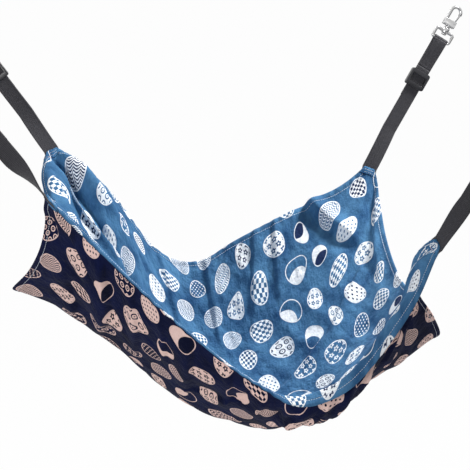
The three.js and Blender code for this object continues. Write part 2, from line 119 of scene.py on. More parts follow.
world = bpy.data.worlds.new("studio")
world.use_nodes = True
scene.world = world
tree = world.node_tree
tree.nodes.clear()
path = add_node(tree, "LightPath")
seen = add_node(
    tree, "Math", {0: path.outputs["Is Camera Ray"], 1: path.outputs["Is Glossy Ray"]}, operation="MAXIMUM")
ambient = add_node(tree, "Background", {"Color": linear("F2F5FF"), "Strength": 0.16})
backdrop = add_node(tree, "Background", {"Color": linear("FFFFFF"), "Strength": 1.0})
mixed = add_node(tree, "MixShader", {0: seen, 1: ambient, 2: backdrop})
add_node(tree, "OutputWorld", {"Surface": mixed})

for name, place, size, watts in (
    ("key lamp", (1.2, 0.1, 1.4), 0.4, 70),
    ("fill lamp", (-1.2, -1.5, 0.0), 0.7, 17),
    ("rear lamp", (-0.9, 1.2, 1.4), 0.8, 10),
):
    lamp = bpy.data.objects.new(name, bpy.data.lights.new(name, "AREA"))
    lamp.data.size = size
    lamp.data.energy = watts
    lamp.location = place
    lamp.rotation_euler = (Vector(LAMPS_AIM) - Vector(place)).to_track_quat("-Z", "Y").to_euler()
    scene.collection.objects.link(lamp)

# Inner panel
# The upper of two rectangles of printed cotton, cut 620 by 430 mm. Its front and back edges are sewn to the
# outer panel's, and its corners hang from the straps, so it sags into a hollow to lie in.
CLOTH_WIDTH = 620.0
CLOTH_LENGTH = 430.0
CLOTH_THICKNESS = 0.0008
WEB_WIDTH = 20.0
GAP, SEAM_GAP = 0.3, 0.98
CORNER_CUT = WEB_WIDTH / math.sqrt(2) + GAP
HEM = 8.0
SEAM = HEM + SEAM_GAP
LAYER = 1.05
CORNER_HALF_DEPTH = 174.0
HANGING_HALF = (335.0, 203.0)
EYE_BELOW_HANGING = 46.7
UP = np.array([0.0, 0.0, 1.0])
LIP_HEIGHT, LIP_REACH, LIP_FALL = 24, 20, 34
FAN_FOLDS, FAN_HEIGHT, FAN_REACH = 6, 12, 74
TURN_REACH = 68
PARTING = 30
OUTER_LIP = 26
FLAP_GAP = 6
EDGE_INSET = 6.6

corners = {}
for name, x, y, span, drop, fold, turn_share in (
    ("front_left", -1, -1, 440, 156, 0.5, -0.57), ("back_left", -1, 1, 420, 170, 1.0, 0.65),
    ("back_right", 1, 1, 420, 206, -0.3, 0.65), ("front_right", 1, -1, 440, 221, 0.5, -0.7),
):
    anchor = np.array([x * span / 2, y * CORNER_HALF_DEPTH, -drop])
    way = np.array([x * HANGING_HALF[0], y * HANGING_HALF[1], 0]) - anchor
    up = way / np.linalg.norm(way)
    across = np.cross([0, 1, 0], up)
    across /= np.linalg.norm(across)
    corners[name] = {
        "x": x, "y": y, "anchor": anchor, "up": up, "across": across, "facing": np.cross(across, up),
        "tip": anchor + up * CORNER_CUT / math.sqrt(2), "fold": fold, "turn": 0.0, "turn_share": turn_share,
        "eye_rise": np.linalg.norm(way) - EYE_BELOW_HANGING,
    }


def smooth(value, low, high):
    """0 below low, 1 above high, and eased between."""
    t = np.clip((value - low) / (high - low), 0, 1)
    return t * t * (3 - 2 * t)


def edge_curve(start, end, rows, sag, bow):
    """A cloth edge through rows of (place along, depth, bow): its points and their shares of its length."""
    p, q = corners[start]["tip"], corners[end]["tip"]
    between = [p + (q - p) * along + np.array(bow) * out - UP * sag * deep for along, deep, out in rows]
    knots = [p] + between + [q]
    knots = np.array([2 * knots[0] - knots[1]] + knots + [2 * knots[-1] - knots[-2]])
    t = np.linspace(0, 1, 40, endpoint=False)[:, None]
    points = []
    for a, b, c, d in zip(knots, knots[1:], knots[2:], knots[3:]):
        bend, twist = 2 * a - 5 * b + 4 * c - d, 3 * b - a - 3 * c + d
        points.append(b + (c - a) * t / 2 + bend * t ** 2 / 2 + twist * t ** 3 / 2)
    points = np.vstack(points + [knots[-2:-1]])
    far = np.concatenate([[0], np.cumsum(np.linalg.norm(np.diff(points, axis=0), axis=1))])
    return points, far / far[-1]


def along_edge(edge, share):
    points, far = edge
    return np.stack([np.interp(share, far, points[:, k]) for k in range(3)], -1)


front_edge = edge_curve("front_left", "front_right", [
    (0.245, 0.475, 0.7), (0.43, 0.78, 0.97), (0.55, 0.93, 1), (0.625, 1, 0.95),
    (0.705, 0.965, 0.85), (0.8, 0.81, 0.65), (0.925, 0.4, 0.3)], sag=226, bow=(0, 18, 0))
back_edge = edge_curve("back_left", "back_right", [
    (0.1, 0.2, -0.3), (0.19, 0.44, -0.56), (0.3, 0.86, -0.8), (0.38, 1, -0.93),
    (0.47, 0.98, -1), (0.565, 0.79, -0.98), (0.8, 0.4, -0.6), (0.9, 0.24, -0.3)], sag=148, bow=(0, 18, 0))
inner_left_edge = edge_curve("front_left", "back_left", [
    (0.2, 0.62, 1), (0.45, 1, 0.5), (0.75, 0.72, 0)], sag=108, bow=(9, 0, 0))
inner_right_edge = edge_curve("front_right", "back_right", [
    (0.2, 0.62, 0), (0.45, 1, 0), (0.75, 0.72, 0)], sag=112, bow=(0, 0, 0))
outer_left_edge = edge_curve("front_left", "back_left", [
    (0.05, 0.16, 0.12), (0.1, 0.33, 0.1), (0.2, 0.56, 0.2), (0.35, 0.78, 0.5), (0.5, 1, 1),
    (0.62, 1.02, 0.42), (0.78, 0.85, -0.12), (0.9, 0.5, -0.16)], sag=146, bow=(-43, 0, 0))
outer_right_edge = edge_curve("front_right", "back_right", [
    (0.1, 0.36, -0.08), (0.25, 0.56, 0.05), (0.38, 0.78, 0.6), (0.5, 1, 1),
    (0.62, 1, 0.4), (0.78, 0.8, -0.1), (0.9, 0.45, -0.12)], sag=178, bow=(48, 0, 0))
LIP = [(0, 0), (0.12, 0.22), (0.5, 0.3), (0.64, 0.75), (0.8, 1), (0.91, 0.6), (1, 0)]


def lip_rise(u, b):
    """How far the rolled lip along the front edge lifts the cloth."""
    size = np.zeros_like(u)
    for (start, low), (end, high) in zip(LIP, LIP[1:]):
        size = np.where((u >= start) & (u <= end), low + (high - low) * smooth(u, start, end), size)
    reach = LIP_REACH * (0.6 + 0.4 * size)
    near = np.sin(np.clip(b / reach, 0, 1) * np.pi / 2)
    far = np.cos(np.clip((b - reach) / LIP_FALL, 0, 1) * np.pi / 2) ** 2
    return LIP_HEIGHT * size * np.where(b < reach, near, far)


def from_corner(corner, a, b):
    return a if corner["x"] < 0 else CLOTH_WIDTH - a, b if corner["y"] < 0 else CLOTH_LENGTH - b


def hung_point(a, b, outer):
    """Where a flat place of the cloth, a across and b back, hangs, in millimetres, without its creases."""
    u, v = np.clip(a / CLOTH_WIDTH, 0, 1), np.clip(b / CLOTH_LENGTH, 0, 1)
    U, V = u[..., None], v[..., None]
    tips = {name: corner["tip"] for name, corner in corners.items()}
    point = (1 - V) * along_edge(front_edge, u) + V * along_edge(back_edge, u)
    point += (1 - U) * along_edge(inner_left_edge, v) + U * along_edge(inner_right_edge, v)
    point -= (1 - U) * (1 - V) * tips["front_left"] + U * (1 - V) * tips["front_right"]
    point -= (1 - U) * V * tips["back_left"] + U * V * tips["back_right"]
    if outer:
        parted = smooth(np.minimum(b, CLOTH_LENGTH - b) - SEAM, 0, PARTING)
        left = along_edge(outer_left_edge, v) - along_edge(inner_left_edge, v)
        right = along_edge(outer_right_edge, v) - along_edge(inner_right_edge, v)
        point += (parted * (1 - u) ** 3)[..., None] * left + (parted * u ** 3)[..., None] * right
        leaves = np.cos(np.clip((b - HEM) / OUTER_LIP, 0, 1) * np.pi / 2) ** 2
        point[..., 2] += lip_rise(u, b) * leaves - FLAP_GAP * np.sin(np.pi * v) ** 2 * parted
    else:
        point[..., 2] += lip_rise(u, b)
    for corner in corners.values():
        along, beside = from_corner(corner, a, b)
        reach = np.hypot(along, beside) / FAN_REACH
        fan = np.sin(FAN_FOLDS * np.arctan2(beside, along)) * smooth(np.hypot(along, beside), 11, 34)
        point[..., 2] += FAN_HEIGHT * corner["fold"] * fan * reach ** 2 * np.exp(2 * (1 - reach))
    for corner in corners.values():
        distance = np.hypot(*from_corner(corner, a, b))
        angle = (corner["turn"] * np.exp(-(distance / TURN_REACH) ** 2))[..., None]
        off = point - corner["tip"]
        axis = corner["up"]
        turned = off * np.cos(angle) + np.cross(axis, off) * np.sin(angle)
        point = corner["tip"] + turned + axis * (off @ axis)[..., None] * (1 - np.cos(angle))
    return point


def cut_ends(corner):
    """The two ends of the cut across a corner, the left one first."""
    along = CORNER_CUT if corner["x"] < 0 else CLOTH_WIDTH - CORNER_CUT
    beside = CORNER_CUT if corner["y"] < 0 else CLOTH_LENGTH - CORNER_CUT
    side_a = 0.0 if corner["x"] < 0 else CLOTH_WIDTH
    side_b = 0.0 if corner["y"] < 0 else CLOTH_LENGTH
    ends = hung_point(np.array([along, side_a]), np.array([side_b, beside]), False)
    return (ends[1], ends[0]) if corner["x"] < 0 else (ends[0], ends[1])


turns = []
for corner in corners.values():
    left, right = cut_ends(corner)
    cut, axis, across = right - left, corner["up"], corner["across"]
    angle = math.atan2(axis @ np.cross(cut, across), cut @ across - (axis @ cut) * (axis @ across))
    nearest = angle - math.copysign(math.pi, angle) if abs(angle) > math.pi / 2 else angle
    turns.append(nearest * corner["turn_share"])
for corner, turn in zip(corners.values(), turns):
    corner["turn"] = turn


# Folds from this height up are pleats, with steeper sides
PLEAT_HEIGHT = 10


def crease(a, b, start, end, width, height, fade=0.65):
    """A fold along a flat line, steep on its right, or on its left where width is negative."""
    start, end = np.array(start, float), np.array(end, float)
    length = np.linalg.norm(end - start)
    way = (end - start) / length
    along = (a - start[0]) * way[0] + (b - start[1]) * way[1]
    beside = ((a - start[0]) * -way[1] + (b - start[1]) * way[0]) * math.copysign(1, width)
    width = abs(width)
    steep = abs(height) * (0.62 if abs(height) < PLEAT_HEIGHT else 0.42)
    ends = smooth(along, -width, length * 0.12) * (1 - smooth(along, length * fade, length + width))
    return height * ends * np.exp(-(beside / np.where(beside > 0, width, steep)) ** 2)


def crumple(a, b, size, seed):
    """Soft random heights from -1 to 1, one for each patch of cloth of a size in millimetres."""
    heights = np.random.default_rng(seed).uniform(-1, 1, (96, 96))
    x, y = a / size + 2, b / size + 2
    column, row = np.floor(x).astype(int), np.floor(y).astype(int)
    x, y = smooth(x - column, 0, 1), smooth(y - row, 0, 1)
    near = heights[column, row] * (1 - x) + heights[column + 1, row] * x
    far = heights[column, row + 1] * (1 - x) + heights[column + 1, row + 1] * x
    return near * (1 - y) + far * y


PUCKER_HEIGHT, PUCKER_GAP = 0.75, 15.5


def creases(a, b, outer):
    """Folds that both layers share: pleats out of the corners, drapes off the seams, puckers and slack."""
    to_seam = np.minimum(b, CLOTH_LENGTH - b)
    to_side = np.minimum(a, CLOTH_WIDTH - a)
    # The outer layer follows a raised fold less, away from the seams
    follows = 1 - 0.55 * smooth(to_seam - SEAM, 0, PARTING) if outer else 1
    rise = 0
    for start, end, width, height, fade in (
        ((10, 404), (150, 317), -13, 11, 0.7), ((20, 416), (200, 300), 9, -8, 0.7),
        ((6, 386), (84, 250), -12, 7, 0.6), ((36, 426), (214, 356), -13, 6, 0.6),
        ((4, 366), (46, 214), 12, 5, 0.6), ((60, 424), (150, 384), -10, 5, 0.6),
        ((498, 438), (572, 334), 12, 12, 0.5), ((484, 438), (560, 330), -13, -7, 0.5),
        ((616, 388), (588, 250), 12, 5, 0.6), ((16, 20), (150, 118), 14, 6, 0.6),
        ((8, 40), (74, 168), 13, 5, 0.6), ((604, 18), (482, 116), 16, 8, 0.6),
        ((612, 44), (560, 176), 13, 4, 0.6), ((236, 424), (262, 322), 17, 3.5, 0.6),
        ((318, 424), (322, 300), 19, 5, 0.6), ((404, 424), (378, 316), 17, 5, 0.6),
        ((440, 426), (424, 330), 12, 4, 0.6), ((300, 60), (210, 150), 22, 4, 0.6),
        ((352, 52), (392, 168), 24, 4, 0.6), ((150, 250), (270, 226), 26, 4, 0.6),
        ((470, 250), (372, 214), 26, 4, 0.6), ((560, 300), (470, 240), 18, 5, 0.6),
        ((90, 300), (230, 262), -16, 5, 0.6), ((70, 240), (190, 190), -16, 4, 0.6),
    ):
        rise = rise + crease(a, b, start, end, width, height, fade) * (follows if height > 6 else 1)
    wander = 3 * np.sin(a / 47) + 2 * np.sin(a / 19 + 1)
    uneven = 0.55 + 0.45 * np.sin(a / 23 + b / 31)
    pucker = PUCKER_HEIGHT * uneven * np.sin((a + wander) * 2 * np.pi / PUCKER_GAP)
    rise += pucker * np.exp(-np.maximum(to_seam - 4, 0) / 10)
    slack = smooth(to_seam, 8, 50) * smooth(to_side, 4, 40)
    drawn = a + 0.5 * b
    for height, patch, seed in ((2.4, 46, 5), (1.1, 19, 8)):
        rise += slack * height * (1 - 1.6 * np.abs(crumple(drawn, b * 0.8, patch, seed)))
    return rise * smooth(np.hypot(to_side, to_seam), 15, 44)


def soft_folds(a, b):
    """Folds of the outer panel alone, standing outwards and hanging straight from its front rim."""
    rise = 0
    for start, end, width, height in (
        ((90, 16), (112, 196), 15, 8), ((136, 20), (160, 170), 13, 6), ((222, 14), (236, 156), 17, 7),
        ((280, 16), (286, 120), 13, 5), ((18, 60), (84, 196), 14, 7), ((430, 12), (404, 136), -14, 8),
        ((462, 12), (448, 130), -11, 7), ((376, 12), (352, 120), -13, 6), ((556, 24), (522, 158), -15, 7),
        ((180, 20), (196, 110), 10, 4), ((330, 20), (318, 96), 9, 5), ((352, 14), (346, 100), 8, -5),
        ((404, 14), (384, 92), -9, 5), ((520, 18), (490, 130), -12, 5), ((310, 14), (296, 84), 8, -4),
        ((604, 62), (566, 124), 24, 7),
    ):
        rise = rise + crease(a, b, start, end, width, height)
    return rise * smooth(np.minimum(b, CLOTH_LENGTH - b), SEAM, 34)


def surface(a, b, outer=False, lift=0.0):
    """A place on the creased cloth, lift millimetres above its middle plane."""
    a, b = np.broadcast_arrays(np.asarray(a, float), np.asarray(b, float))
    a_low, a_high = np.maximum(a - 1, 0), np.minimum(a + 1, CLOTH_WIDTH)
    b_low, b_high = np.maximum(b - 1, 0), np.minimum(b + 1, CLOTH_LENGTH)
    across = hung_point(a_high, b, outer) - hung_point(a_low, b, outer)
    back = hung_point(a, b_high, outer) - hung_point(a, b_low, outer)
    normal = np.cross(across, back)
    normal /= np.linalg.norm(normal, axis=-1, keepdims=True)
    rise = creases(a, b, outer) - (soft_folds(a, b) if outer else 0)
    return hung_point(a, b, outer) + normal * (rise + lift)[..., None]


def new_piece(name, mesh, materials, body, nodes=()):
    """Puts a mesh in the scene as a piece that rides on a body and stands for CAD nodes."""
    for material in materials:
        mesh.materials.append(material)
    mesh.polygons.foreach_set("use_smooth", [True] * len(mesh.polygons))
    piece = bpy.data.objects.new(name, mesh)
    scene.collection.objects.link(piece)
    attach(piece, body)
    if nodes:
        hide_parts(*nodes)
    return piece


def moved_grid(name, columns, rows, place, keep_share=False):
    """A grid whose points place(s, t) gives in millimetres, with their flat places as a UV map in metres."""
    shape = bmesh.new()
    bmesh.ops.create_grid(shape, x_segments=columns, y_segments=rows, size=0.5)
    mesh = bpy.data.meshes.new(name)
    shape.to_mesh(mesh)
    shape.free()
    at = np.empty(len(mesh.vertices) * 3)
    mesh.vertices.foreach_get("co", at)
    at = at.reshape(-1, 3) + 0.5
    points, flat = place(at[:, 0], at[:, 1])
    mesh.vertices.foreach_set("co", points.ravel() * 0.001)
    if keep_share:
        mesh.attributes.new("share", "FLOAT", "POINT").data.foreach_set("value", at[:, 0])
    corner_of = np.empty(len(mesh.loops), int)
    mesh.loops.foreach_get("vertex_index", corner_of)
    layer = mesh.uv_layers.new(name="flat")
    layer.uv.foreach_set("vector", (flat[corner_of] * 0.001).ravel())
    return mesh


def panel_mesh(name, outer):
    """A panel between its hems, drawn in at the seams where the two layers are sewn together."""
    lift = -LAYER if outer else LAYER

    def place(s, t):
        a = EDGE_INSET + (CLOTH_WIDTH - 2 * EDGE_INSET) * s
        b = EDGE_INSET + (CLOTH_LENGTH - 2 * EDGE_INSET) * t
        tucked = 0.5 + 0.5 * smooth(np.minimum(b, CLOTH_LENGTH - b), HEM, 2 * HEM)
        return surface(a, b, outer, lift * tucked), np.stack([a, b], -1)
    return moved_grid(name, 240, 166, place)


# Printed cotton poplin, plain woven and piece-dyed, with pale motifs printed on it. It is matt, and the light
# catches its fuzz at glancing angles. Its threads are 0.4 mm apart, drawn 1.2 mm apart so that they show.
MOTIF_GAP, ROW_GAP = 48.0, 42.0
MOTIF_MOVE, ROW_MOVE, ROW_DRIFT = 5.0, 2.0, 50
SMALL_MOTIF, LARGE_MOTIF, MOTIF_LINE = 13.6, 16.4, 1.2
BLOSSOM_TILE, CHECK_SIDE, DOT_TILE = 9.4, 4.1, 5.0
SCALLOP_WIDTH, SCALLOP_RISE, SCALLOP_GAP = 8.4, 2.6, 2.7
RING_GAP = 0.3
THREAD_GAP = 1.2
# The scale at which a wave texture's bands are 1 mm apart
BANDS = 2 * math.pi / 20


def printed_cotton(name, ground, ground_deep_dye_and_shade, dark_ink, pale, pale_deep, seed, reverse=0.0, shine=0.16):
    """Cotton with a ground darkened in patches, by uneven dye and by painted shade, and motifs in dark and
    pale ink, washed out by reverse.
    """
    material, tree = new_material(name)
    flat = add_node(tree, "UVMap", uv_map="flat")
    mm = add_node(tree, "VectorMath", {0: flat, "Scale": 1000.0}, operation="SCALE")
    drift = add_node(tree, "TexNoise", {0: mm, "Scale": 0.009, "Detail": 1.0})
    drift = add_node(tree, "VectorMath", {0: drift.outputs["Color"], 1: (0.5,) * 3}, operation="SUBTRACT")
    drifted = add_node(tree, "VectorMath", {0: drift, 1: (ROW_DRIFT,) * 3, 2: mm}, operation="MULTIPLY_ADD")
    at = add_node(tree, "SeparateXYZ", {0: drifted})
    # Motifs stand in rows 42 mm apart and 48 mm apart in a row, each row shifted by half
    row_at = add_node(tree, "Math", {0: at.outputs["Y"], 1: ROW_GAP}, operation="DIVIDE")
    row = add_node(tree, "Math", {0: row_at}, operation="FLOOR")
    shift = add_node(tree, "Math", {0: row, 1: 0.5}, operation="MULTIPLY")
    column_at = add_node(
        tree, "Math", {0: at.outputs["X"], 1: 1 / MOTIF_GAP, 2: shift}, operation="MULTIPLY_ADD")
    column = add_node(tree, "Math", {0: column_at}, operation="FLOOR")
    cell = add_node(tree, "CombineXYZ", {0: column, 1: row, 2: seed})
    chance = add_node(tree, "TexWhiteNoise", {0: cell}, noise_dimensions="3D")
    dice = add_node(tree, "SeparateColor", {0: chance.outputs["Color"]})
    other_cell = add_node(tree, "CombineXYZ", {0: row, 1: column, 2: seed + 7.3})
    other_chance = add_node(tree, "TexWhiteNoise", {0: other_cell}, noise_dimensions="3D")
    other_dice = add_node(tree, "SeparateColor", {0: other_chance.outputs["Color"]})
    # The place in the cell from its middle, which is moved by up to 5 mm, and turned
    in_column = add_node(tree, "Math", {0: column_at}, operation="FRACT")
    in_row = add_node(tree, "Math", {0: row_at}, operation="FRACT")
    x = add_node(tree, "MapRange", {0: in_column, 3: -MOTIF_GAP / 2, 4: MOTIF_GAP / 2})
    y = add_node(tree, "MapRange", {0: in_row, 3: -ROW_GAP / 2, 4: ROW_GAP / 2})
    move_x = add_node(tree, "MapRange", {0: dice.outputs[0], 3: -MOTIF_MOVE, 4: MOTIF_MOVE})
    move_y = add_node(tree, "MapRange", {0: dice.outputs[1], 3: -ROW_MOVE, 4: ROW_MOVE})
    x = add_node(tree, "Math", {0: x, 1: move_x}, operation="SUBTRACT")
    y = add_node(tree, "Math", {0: y, 1: move_y}, operation="SUBTRACT")
    here = add_node(tree, "CombineXYZ", {0: x, 1: y})
    angle = add_node(tree, "Math", {0: dice.outputs[2], 1: 2 * math.pi}, operation="MULTIPLY")
    turned = add_node(tree, "VectorRotate", {"Vector": here, "Angle": angle}, rotation_type="Z_AXIS")
    local = add_node(tree, "SeparateXYZ", {0: turned})
    # Outline: a pebble that is more or less long, with three soft lobes
    far = add_node(tree, "VectorMath", {0: turned}, operation="LENGTH")
    bearing = add_node(tree, "Math", {0: local.outputs["Y"], 1: local.outputs["X"]}, operation="ARCTAN2")
    twice = add_node(tree, "Math", {0: bearing, 1: 2.0}, operation="MULTIPLY")
    thrice = add_node(tree, "Math", {0: bearing, 1: 3.0}, operation="MULTIPLY")
    two = add_node(tree, "Math", {0: twice}, operation="COSINE")
    three = add_node(tree, "Math", {0: thrice}, operation="COSINE")
    long_share = add_node(tree, "MapRange", {0: other_dice.outputs[0], 3: 0.0, 4: 0.12})
    lobe_share = add_node(tree, "MapRange", {0: other_dice.outputs[1], 3: -0.06, 4: 0.08})
    one = add_node(tree, "Math", {0: two, 1: long_share, 2: 1.0}, operation="MULTIPLY_ADD")
    lobed = add_node(tree, "Math", {0: three, 1: lobe_share, 2: one}, operation="MULTIPLY_ADD")
    size = add_node(tree, "MapRange", {0: chance.outputs["Value"], 3: SMALL_MOTIF, 4: LARGE_MOTIF})
    rim = add_node(tree, "Math", {0: lobed, 1: size}, operation="MULTIPLY")
    out = add_node(tree, "Math", {0: far.outputs["Value"], 1: rim}, operation="SUBTRACT")
    inside = add_node(tree, "MapRange", {0: out, 1: 0.2, 2: -0.2})
    core = add_node(tree, "MapRange", {0: out, 1: 0.2 - MOTIF_LINE, 2: -0.2 - MOTIF_LINE})
    line = add_node(tree, "Math", {0: inside, 1: core}, operation="SUBTRACT")
    # Fillings, drawn in ink on the pale shape: blossoms, checks, scallops, dots, rings or halves
    kind = add_node(tree, "Math", {0: other_dice.outputs[2], 1: 6.0}, operation="MULTIPLY")
    kind = add_node(tree, "Math", {0: kind}, operation="FLOOR")

    def in_tile(size):
        """The place in a square tile, as shares of its size from its middle."""
        tile = add_node(tree, "VectorMath", {0: turned, 1: (size,) * 3}, operation="DIVIDE")
        tile = add_node(tree, "VectorMath", {0: tile}, operation="FRACTION")
        return add_node(tree, "VectorMath", {0: tile, 1: (0.5, 0.5, 0)}, operation="SUBTRACT")

    petal_at = in_tile(BLOSSOM_TILE)
    petal_xy = add_node(tree, "SeparateXYZ", {0: petal_at})
    petal_far = add_node(tree, "VectorMath", {0: petal_at}, operation="LENGTH")
    petal_angle = add_node(
        tree, "Math", {0: petal_xy.outputs["Y"], 1: petal_xy.outputs["X"]}, operation="ARCTAN2")
    five = add_node(tree, "Math", {0: petal_angle, 1: 5.0}, operation="MULTIPLY")
    five = add_node(tree, "Math", {0: five}, operation="COSINE")
    petal_rim = add_node(tree, "Math", {0: five, 1: 0.08, 2: 0.33}, operation="MULTIPLY_ADD")
    petal_out = add_node(tree, "Math", {0: petal_far.outputs["Value"], 1: petal_rim}, operation="SUBTRACT")
    petals = add_node(tree, "MapRange", {0: petal_out, 1: 0.02, 2: -0.02})
    heart = add_node(tree, "MapRange", {0: petal_far.outputs["Value"], 1: 0.1, 2: 0.14})
    blossoms = add_node(tree, "Math", {0: petals, 1: heart}, operation="MULTIPLY")

    checks = add_node(tree, "TexChecker", {0: turned, "Scale": 1 / CHECK_SIDE})

    scallop = add_node(
        tree, "Math", {0: local.outputs["X"], 1: math.pi / SCALLOP_WIDTH}, operation="MULTIPLY")
    scallop = add_node(tree, "Math", {0: scallop}, operation="SINE")
    scallop = add_node(tree, "Math", {0: scallop}, operation="ABSOLUTE")
    scallop = add_node(
        tree, "Math", {0: scallop, 1: SCALLOP_RISE, 2: local.outputs["Y"]}, operation="MULTIPLY_ADD")
    scallop = add_node(tree, "Math", {0: scallop, 1: 2 * math.pi / SCALLOP_GAP}, operation="MULTIPLY")
    scallop = add_node(tree, "Math", {0: scallop}, operation="SINE")
    scallops = add_node(tree, "MapRange", {0: scallop, 1: -0.15, 2: 0.25})

    dot_far = add_node(tree, "VectorMath", {0: in_tile(DOT_TILE)}, operation="LENGTH")
    dots = add_node(tree, "MapRange", {0: dot_far.outputs["Value"], 1: 0.26, 2: 0.2})

    ring = add_node(
        tree, "Math", {0: petal_far.outputs["Value"], 1: 2 * math.pi / RING_GAP}, operation="MULTIPLY")
    ring = add_node(tree, "Math", {0: ring}, operation="COSINE")
    rings = add_node(tree, "MapRange", {0: ring, 1: -0.1, 2: 0.3})
    ring_room = add_node(tree, "MapRange", {0: petal_far.outputs["Value"], 1: 0.41, 2: 0.37})
    rings = add_node(tree, "Math", {0: rings, 1: ring_room}, operation="MULTIPLY")

    half = add_node(tree, "Math", {0: local.outputs["Y"], 1: local.outputs["Y"]}, operation="MULTIPLY")
    half = add_node(tree, "Math", {0: half, 1: -0.05, 2: local.outputs["X"]}, operation="MULTIPLY_ADD")
    halves = add_node(tree, "MapRange", {0: half, 1: -2.3, 2: -1.9})

    ink = None
    for number, filling in enumerate((blossoms, checks.outputs["Fac"], scallops, dots, rings, halves)):
        chosen = add_node(tree, "Math", {0: kind, 1: float(number), 2: 0.4}, operation="COMPARE")
        part = add_node(tree, "Math", {0: chosen, 1: filling}, operation="MULTIPLY")
        ink = part if ink is None else add_node(tree, "Math", {0: ink, 1: part}, operation="ADD")
    # About a third of the motifs are drawn the other way round: a pale outline, pale filling, ground between
    swapped = add_node(tree, "Math", {0: chance.outputs["Value"], 1: 0.68}, operation="GREATER_THAN")
    filled = add_node(tree, "Math", {0: 1.0, 1: ink}, operation="SUBTRACT")
    filling = add_node(tree, "Mix", {0: swapped, 2: filled, 3: ink})
    filling = add_node(tree, "Math", {0: filling, 1: core}, operation="MULTIPLY")
    motif = add_node(tree, "Math", {0: filling, 1: line}, operation="MAXIMUM")
    # The ground darkens in patches over a hand's breadth: partly uneven dye, partly painted shade for the
    # shade in the cloth's folds
    dye_and_shade_patches = add_node(tree, "TexNoise", {0: mm, "Scale": 0.026, "Detail": 5.0, "Roughness": 0.6})
    dye_and_shade_share = add_node(tree, "MapRange", {0: dye_and_shade_patches, 1: 0.4, 2: 0.66})
    dyed_and_shaded = add_node(
        tree, "Mix", {0: dye_and_shade_share, 6: linear(ground), 7: linear(ground_deep_dye_and_shade)}, data_type="RGBA")
    # Of the other motifs, two in five are filled in a darker ink than the ground
    second_ink = add_node(tree, "Math", {0: other_dice.outputs[1], 1: 0.4}, operation="LESS_THAN")
    unprinted = add_node(tree, "Math", {0: core, 1: motif}, operation="SUBTRACT")
    inked = add_node(tree, "Math", {0: unprinted, 1: second_ink}, operation="MULTIPLY")
    inked = add_node(tree, "Math", {0: inked, 1: swapped}, operation="SUBTRACT", use_clamp=True)
    ground_colour = add_node(
        tree, "Mix", {0: inked, 6: dyed_and_shaded.outputs[2], 7: linear(dark_ink)}, data_type="RGBA")
    fleck = add_node(tree, "TexNoise", {0: mm, "Scale": 0.45, "Detail": 4.0, "Roughness": 0.7})
    fleck_share = add_node(tree, "MapRange", {0: fleck, 1: 0.45, 2: 0.8})
    pale_colour = add_node(
        tree, "Mix", {0: fleck_share, 6: linear(pale), 7: linear(pale_deep)}, data_type="RGBA")
    printed = add_node(
        tree, "Mix", {0: motif, 6: ground_colour.outputs[2], 7: pale_colour.outputs[2]}, data_type="RGBA")
    washed = add_node(tree, "Mix", {0: reverse, 6: printed.outputs[2], 7: linear(pale)}, data_type="RGBA")
    # Plain weave over slack cloth
    threads = {0: mm, "Scale": BANDS / THREAD_GAP, "Distortion": 0.6}
    warp = add_node(tree, "TexWave", threads, bands_direction="X")
    weft = add_node(tree, "TexWave", threads, bands_direction="Y")
    weave = add_node(tree, "Math", {0: warp.outputs["Fac"], 1: weft.outputs["Fac"]}, operation="ADD")
    rumple = add_node(tree, "TexNoise", {0: mm, "Scale": 0.075, "Detail": 5.0, "Roughness": 0.62})
    weave_bump = add_node(tree, "Bump", {"Height": weave, "Strength": 0.12, "Distance": 0.0002})
    rumple_bump = add_node(
        tree, "Bump", {"Height": rumple, "Strength": 0.8, "Distance": 0.006, "Normal": weave_bump})
    cloth = add_node(tree, "BsdfPrincipled", {
        "Base Color": washed.outputs[2], "Roughness": 0.88, "Specular IOR Level": shine,
        "Sheen Weight": 0.03, "Sheen Roughness": 0.5, "Normal": rumple_bump})
    add_node(tree, "OutputMaterial", {"Surface": cloth})
    return material


def thicken(panel, rim_material):
    """Gives a panel its cloth's thickness, with its second material underneath."""
    thickness = panel.modifiers.new("cloth thickness", "SOLIDIFY")
    thickness.thickness = CLOTH_THICKNESS
    thickness.offset = 0
    thickness.material_offset = 1
    thickness.material_offset_rim = rim_material


blue_cotton = printed_cotton(
    "printed cotton poplin, blue", "4B7BA3", "264F79", "1D2F55", "FBFDFF", "DCE8F2", 3.0)
blue_reverse = printed_cotton(
    "wrong side of blue cotton", "6F95B8", "557CA3", "5A6C90", "DCE6F0", "C3D4E6", 3.0, 0.3)

inner_panel = new_piece(
    "inner_panel_cotton", panel_mesh("inner_panel_cotton", False), [blue_cotton, blue_reverse],
    "hammock", ["inner_panel"])
thicken(inner_panel, 0)

# Outer panel
# The lower rectangle, printed cotton of the same cut, its navy ground and pinkish motifs the blue print
# painted in shade, warmed by light bounced up from below. It meets the inner panel at the front and back
# seams only, so its two free ends hang as flaps and the layers between make a pocket to hide in.
# Painted shade: these navy and pinkish colours, face and wrong side, are the blue print as it looks hanging
# face down in shade, warmed by light bounced up from below.
blue_cotton_in_painted_shade = printed_cotton(
    "printed cotton poplin, blue in painted shade", "0F173C", "080D28", "080D28", "F0D0C7", "D9B9B1", 11.0, shine=0.08)
wrong_side_in_painted_shade = printed_cotton(
    "wrong side of blue cotton in painted shade", "59618C", "4E5680", "4E5680", "CDBCC4", "BBA9B4", 11.0, 0.25)

outer_panel = new_piece(
    "outer_panel_cotton", panel_mesh("outer_panel_cotton", True), [wrong_side_in_painted_shade, blue_cotton_in_painted_shade],
    "hammock", ["outer_panel"])
thicken(outer_panel, 1)

# Front and back seams
# Both panels' long edges are turned in towards each other and stitched together 6 mm from the edge, so the
# seam is blue cotton above and the outer panel's cotton, painted navy as shade, below.
UNDERSIDE_FROM = 0.47


